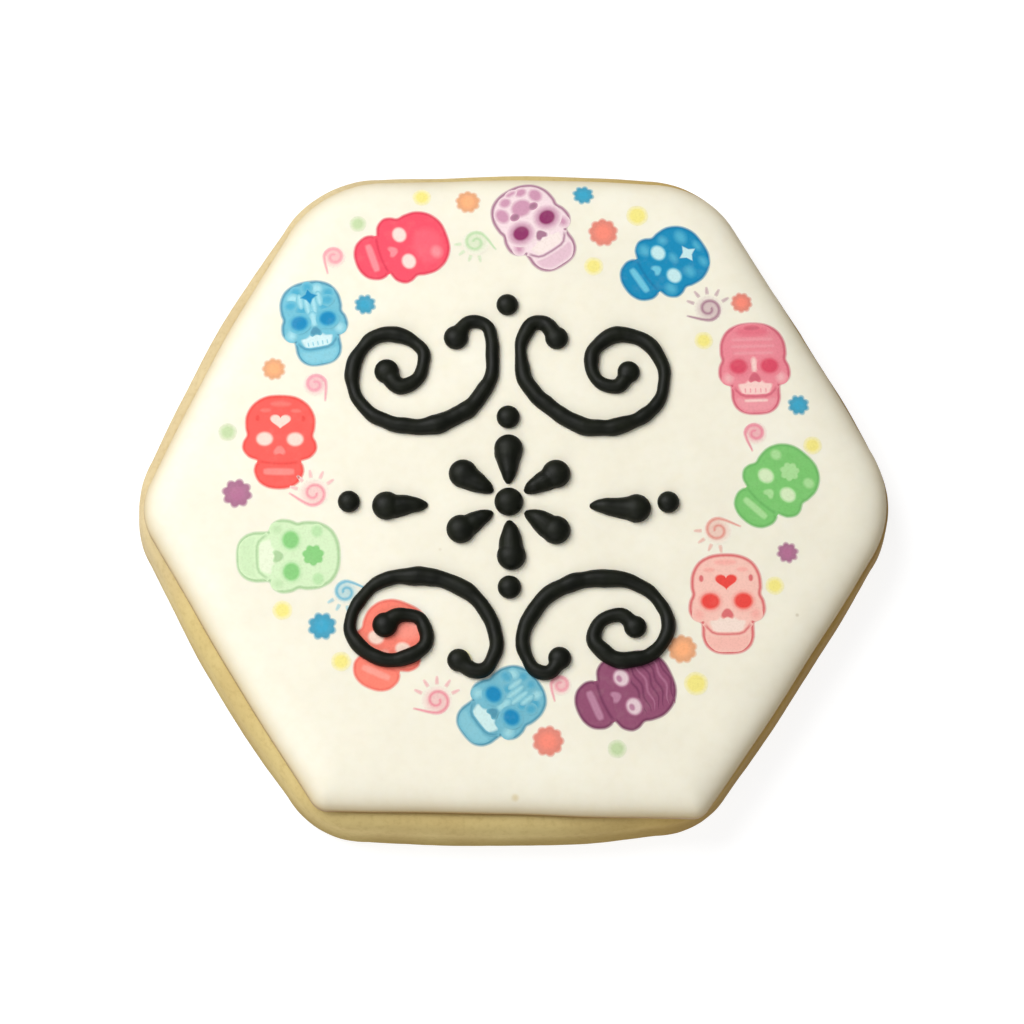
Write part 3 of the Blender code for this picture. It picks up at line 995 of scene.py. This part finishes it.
def print_curl(ground, name, colour, x, y, radius, leave, way, rays, rays_at):
    """A soft disc with a spiral line, a tapering tail and short rays."""
    sheet = Print("print_curl_" + name, ground)
    disc = blend(colour, BARE_ICING, 0.6 if rays else 0.42)
    below = blend(BARE_ICING, colour, RIM_SHARE)
    x *= MM
    y *= MM
    rim, core = (ellipse(x, y, radius * share * MM, radius * share * MM) for share in (1.25, 0.6))
    sheet.add(rim, core, disc, BARE_ICING)
    points = [(x + px * MM, y + py * MM) for px, py in curl_line(radius, leave, way)]
    half_widths = [(0.12 + 0.025 * min(step, 6)) * MM for step in range(len(points))]
    sheet.add_line(points, half_widths, colour, [below] * TAIL_POINTS + [disc] * RING_POINTS)
    for ray in range(rays):
        angle = math.radians(rays_at + 32 * (ray - (rays - 1) / 2))
        line = [polar(x, y, share * radius * MM, angle) for share in (1.3, 1.5, 1.75, 2.0)]
        widths = [0.2 * MM, 0.24 * MM, 0.2 * MM, 0.12 * MM]
        sheet.add_line(line, widths, blend(colour, BARE_ICING, 0.4), [below] * 4)
    return sheet.finish()


def start_material(name):
    material = bpy.data.materials.new(name)
    material.use_nodes = True
    tree = material.node_tree
    place = tree.nodes.new("ShaderNodeTexCoord").outputs["Object"]
    return material, tree, tree.nodes["Principled BSDF"], place


def set_inputs(node, values):
    """Sets inputs by name or number. A socket among the values is linked."""
    for name, value in values.items():
        if isinstance(value, bpy.types.NodeSocket):
            node.id_data.links.new(value, node.inputs[name])
        else:
            node.inputs[name].default_value = value


def noise_node(tree, place, size, detail=3.0, roughness=0.55):
    """Noise whose features are about size metres across."""
    texture = tree.nodes.new("ShaderNodeTexNoise")
    set_inputs(texture, {"Vector": place, "Scale": 1 / size, "Detail": detail, "Roughness": roughness})
    return texture.outputs["Fac"]


def range_node(tree, source, start, end, reach=(0.0, 1.0), kind="LINEAR"):
    """The source's span from start to end spread over the reach."""
    spread = tree.nodes.new("ShaderNodeMapRange")
    spread.interpolation_type = kind
    set_inputs(spread, {"Value": source, "From Min": start, "From Max": end})
    set_inputs(spread, {"To Min": reach[0], "To Max": reach[1]})
    return spread.outputs["Result"]


def ramp_node(tree, source, stops):
    """Colours, given as display values, along the source's value."""
    ramp = tree.nodes.new("ShaderNodeValToRGB")
    elements = ramp.color_ramp.elements
    while len(elements) < len(stops):
        elements.new(0.5)
    for element, (position, colour) in zip(elements, stops):
        element.position = position
        element.color = linear(colour)
    set_inputs(ramp, {"Fac": source})
    return ramp.outputs["Color"]


def mix_node(tree, kind, factor, first, second):
    """Mixed colours. Factor and colours are sockets or fixed values."""
    mix = tree.nodes.new("ShaderNodeMix")
    mix.data_type = "RGBA"
    mix.blend_type = kind
    set_inputs(mix, {0: factor, 6: first, 7: second})
    return mix.outputs[2]


def add_bump(tree, shader, layers):
    """Bump from (height socket, strength, distance in metres) layers."""
    normal = None
    for height, strength, distance in layers:
        bump = tree.nodes.new("ShaderNodeBump")
        set_inputs(bump, {"Strength": strength, "Distance": distance, "Height": height})
        if normal:
            set_inputs(bump, {"Normal": normal})
        normal = bump.outputs["Normal"]
    set_inputs(shader, {"Normal": normal})


def biscuit_material():
    """Pale baked dough with a soft fine grain: browner at the foot and underneath, partly baked colour and
    partly painted shade; painted shade darkens it towards +X, away from the key light; painted light
    leaves the lit left and upper left a touch paler.
    """
    material, tree, shader, place = start_material("baked_biscuit")
    patches = noise_node(tree, place, 8 * MM, 2.0)
    grain = noise_node(tree, place, 0.7 * MM, 4.0, 0.6)
    dough = ramp_node(tree, patches, (
        (0.3, (202, 181, 138)), (0.55, (208, 189, 146)), (0.75, (214, 196, 154))))
    grained = mix_node(tree, "MULTIPLY", 0.32, dough, ramp_node(tree, grain, (
        (0.3, (208, 194, 164)), (0.5, (246, 242, 234)), (0.75, (255, 254, 250)))))
    browned_with_painted_light = grained
    for direction, spread, tint_starts, tint_full, tint in (
        # Browner at the foot and underneath: partly baked colour, partly painted shade on the low walls.
        ((-0.08, 0, 1), 1.5 * MM, 8.0 * MM, 2.6 * MM, (202, 195, 166)),
        # Painted shade: darker towards +X, the side turned away from the key light.
        ((1, 0, 0), 8.0 * MM, 4.0 * MM, 37.0 * MM, (238, 219, 180)),
        # Painted light: a slight yellow tint everywhere but the left and upper left, so the lit side reads
        # paler.
        ((1, -0.6, 0), 4.0 * MM, -41.0 * MM, -24.0 * MM, (255, 252, 222)),
    ):
        across = tree.nodes.new("ShaderNodeVectorMath")
        across.operation = "DOT_PRODUCT"
        set_inputs(across, {0: place, 1: direction})
        drift = tree.nodes.new("ShaderNodeMath")
        drift.operation = "MULTIPLY_ADD"
        set_inputs(drift, {0: patches, 1: spread, 2: across.outputs["Value"]})
        tint_share = range_node(tree, drift.outputs[0], tint_starts, tint_full, kind="SMOOTHSTEP")
        browned_with_painted_light = mix_node(tree, "MULTIPLY", tint_share, browned_with_painted_light, linear(tint))
    set_inputs(shader, {"Base Color": browned_with_painted_light, "Roughness": 0.85, "Specular IOR Level": 0.25})
    fine = noise_node(tree, place, 0.25 * MM, 3.0, 0.6)
    add_bump(tree, shader, ((grain, 0.3, 0.06 * MM), (fine, 0.25, 0.03 * MM)))
    return material


def icing_material():
    """Dried run icing: warm white, faintly mottled, with a satin skin. Its edge darkens and browns towards
    its foot: partly the biscuit showing through the thin icing, partly painted shade on the rolled edge.
    """
    material, tree, shader, place = start_material("white_icing")
    patches = noise_node(tree, place, 9 * MM, 2.0)
    mottle = noise_node(tree, place, 1.3 * MM, 3.0)
    base = ramp_node(tree, patches, (
        (0.3, (240, 235, 216)), (0.55, (243, 238, 219)), (0.75, (245, 241, 224))))
    mottled = mix_node(tree, "MULTIPLY", 0.2, base, ramp_node(tree, mottle, (
        (0.3, (244, 241, 232)), (0.6, (255, 255, 255)))))
    sides = tree.nodes.new("ShaderNodeSeparateXYZ")
    set_inputs(sides, {0: place})
    colour = mottled
    # Partly painted shade: both tints darken the rolled edge towards its foot, the second most at the
    # contact line; the rest is the biscuit seen through thin icing.
    for white_at, tinted_at, tint in (
        (2.1 * MM, 0.2 * MM, (204, 186, 148)), (0.8 * MM, 0.0, (196, 170, 128)),
    ):
        start, end = ICING_BASE + white_at, ICING_BASE + tinted_at
        thin = range_node(tree, sides.outputs["Z"], start, end, kind="SMOOTHSTEP")
        colour = mix_node(tree, "MULTIPLY", thin, colour, linear(tint))
    for x, y, radius, tint in SPECKS:
        apart = tree.nodes.new("ShaderNodeVectorMath")
        apart.operation = "DISTANCE"
        set_inputs(apart, {0: place, 1: (x, y, icing_surface(x, y) - 0.2 * MM)})
        near = range_node(tree, apart.outputs["Value"], radius, radius * 0.3, kind="SMOOTHSTEP")
        colour = mix_node(tree, "MULTIPLY", near, colour, linear(tint))
    set_inputs(shader, {
        "Base Color": colour, "Roughness": 0.5, "Specular IOR Level": 0.35,
        "Subsurface Weight": 0.15, "Subsurface Radius": (1.0, 0.8, 0.5), "Subsurface Scale": 0.8 * MM,
    })
    ripple = noise_node(tree, place, 2.2 * MM, 2.0)
    fine = noise_node(tree, place, 0.3 * MM, 2.0)
    add_bump(tree, shader, ((ripple, 0.25, 0.03 * MM), (fine, 0.1, 0.01 * MM)))
    return material


def piping_material():
    """Black royal icing, dried matt, with the faint green cast of the colour."""
    material, tree, shader, place = start_material("black_icing")
    patches = noise_node(tree, place, 1.8 * MM, 3.0)
    base = ramp_node(tree, patches, (
        (0.3, (11, 14, 7)), (0.55, (17, 20, 10)), (0.8, (26, 29, 17))))
    sheen = range_node(tree, patches, 0.0, 1.0, (0.42, 0.6))
    set_inputs(shader, {"Base Color": base, "Roughness": sheen, "Specular IOR Level": 0.2})
    fine = noise_node(tree, place, 0.35 * MM, 3.0)
    add_bump(tree, shader, ((patches, 0.35, 0.06 * MM), (fine, 0.3, 0.02 * MM)))
    return material


def ink_material():
    """Food colours printed on the icing: thin, a little blotchy and as satin as the icing."""
    name = "edible_ink"
    if name in bpy.data.materials:
        return bpy.data.materials[name]
    material, tree, shader, place = start_material(name)
    inks = tree.nodes.new("ShaderNodeVertexColor")
    inks.layer_name = "ink"
    blotch = noise_node(tree, place, 1.2 * MM, 3.0)
    dots = noise_node(tree, place, 0.25 * MM, 2.0)
    worn = range_node(tree, blotch, 0.5, 0.8, (0.0, 0.04))
    paler = mix_node(tree, "MIX", worn, inks.outputs["Color"], linear(BARE_ICING))
    dotted = mix_node(tree, "MULTIPLY", 0.3, paler, ramp_node(tree, dots, (
        (0.35, (232, 230, 224)), (0.55, (255, 255, 255)))))
    set_inputs(shader, {"Base Color": dotted, "Roughness": 0.55, "Specular IOR Level": 0.2})
    add_bump(tree, shader, ((dots, 0.2, 0.01 * MM),))
    return material


def floor_material():
    material, tree, shader, place = start_material("plain_floor")
    soft = noise_node(tree, place, 60 * MM, 2.0)
    base = ramp_node(tree, soft, ((0.3, (153.3, 153.3, 153.3)), (0.7, (157.6, 157.6, 157.6))))
    set_inputs(shader, {"Base Color": base, "Roughness": 0.9})
    set_inputs(shader, {"Emission Color": (1, 1, 1, 1), "Emission Strength": 0.82})
    return material


def make_floor():
    size = 1.5
    corners = [(-size, -size, 0), (size, -size, 0), (size, size, 0), (-size, size, 0)]
    floor = new_object("floor", corners, [(0, 1, 2, 3)], floor_material())


def make_light(name, place, size, power):
    """A round soft light that aims at the origin."""
    light = bpy.data.lights.new(name, "AREA")
    light.shape = "DISK"
    light.size = size
    light.energy = power
    lamp = show(bpy.data.objects.new(name, light))
    lamp.location = place
    lamp.rotation_euler = Vector(place).to_track_quat("Z", "Y").to_euler()


def make_lights():
    make_light("key", (-0.19, 0.13, 0.34), 0.32, 1.62)
    make_light("front_fill", (-0.20, -0.45, 0.42), 0.5, 1.12)
    world = bpy.data.worlds.new("studio")
    world.use_nodes = True
    set_inputs(world.node_tree.nodes["Background"], {"Color": (1, 1, 1, 1), "Strength": 0.2})
    bpy.context.scene.world = world


def make_camera():
    tilt = math.radians(CAMERA_TILT)
    azimuth = math.radians(CAMERA_AZIMUTH)
    back = Vector((
        math.sin(azimuth) * math.sin(tilt), -math.cos(azimuth) * math.sin(tilt), math.cos(tilt)
    ))
    lens = bpy.data.cameras.new("camera")
    lens.lens = CAMERA_LENS
    lens.sensor_width = CAMERA_SENSOR
    camera = show(bpy.data.objects.new("camera", lens))
    camera.rotation_mode = "QUATERNION"
    roll = Quaternion((0, 0, 1), math.radians(CAMERA_ROLL))
    camera.rotation_quaternion = back.to_track_quat("Z", "Y") @ roll
    camera.location = CAMERA_TARGET + back * CAMERA_DISTANCE
    bpy.context.scene.camera = camera


def ride_root(piece):
    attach(piece, "root")


def main():
    make_camera()
    make_lights()
    make_floor()
    bpy.context.scene.view_settings.view_transform = "Standard"
    biscuit = make_biscuit(biscuit_material())
    ride_root(biscuit)
    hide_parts("biscuit")
    icing = make_icing(icing_material())
    ride_root(icing)
    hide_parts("icing")
    piping = make_piping(piping_material())
    ride_root(piping)
    ground = bvhtree.BVHTree.FromObject(icing, bpy.context.evaluated_depsgraph_get())
    for make_print, rows in ((print_skull, SKULLS), (print_spots, SPOTS), (print_curl, CURLS)):
        for row in rows:
            ride_root(make_print(ground, *row))


main()
